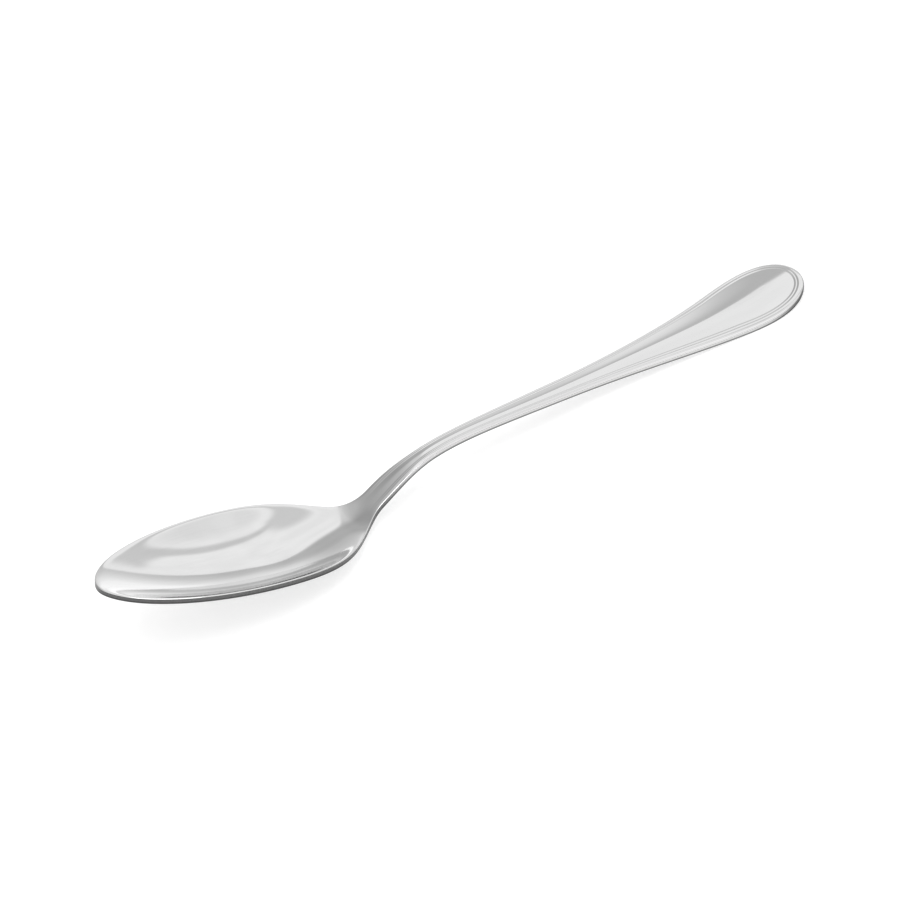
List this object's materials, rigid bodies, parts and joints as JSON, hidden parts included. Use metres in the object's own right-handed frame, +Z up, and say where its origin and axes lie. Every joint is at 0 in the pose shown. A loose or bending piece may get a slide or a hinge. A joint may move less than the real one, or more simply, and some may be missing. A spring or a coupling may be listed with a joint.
{
  "type": "tablespoon",
  "caption": "Tablespoon with an oval dished bowl, a slim raised neck and a flared, round-ended handle with a threaded border, for eating and serving.",
  "frame": {"origin": "middle of the bounding box at table height, with the spoon resting bowl up on a table", "axes": "+X from the bowl tip to the handle end, +Z up from the table, +Y across the spoon"},
  "size_m": [0.2054, 0.044, 0.0225],
  "materials": {
    "steel": "polished"
  },
  "bodies": {
    "root": {"bowl": "steel", "neck": "steel", "handle": "steel"}
  },
  "joints": []
}
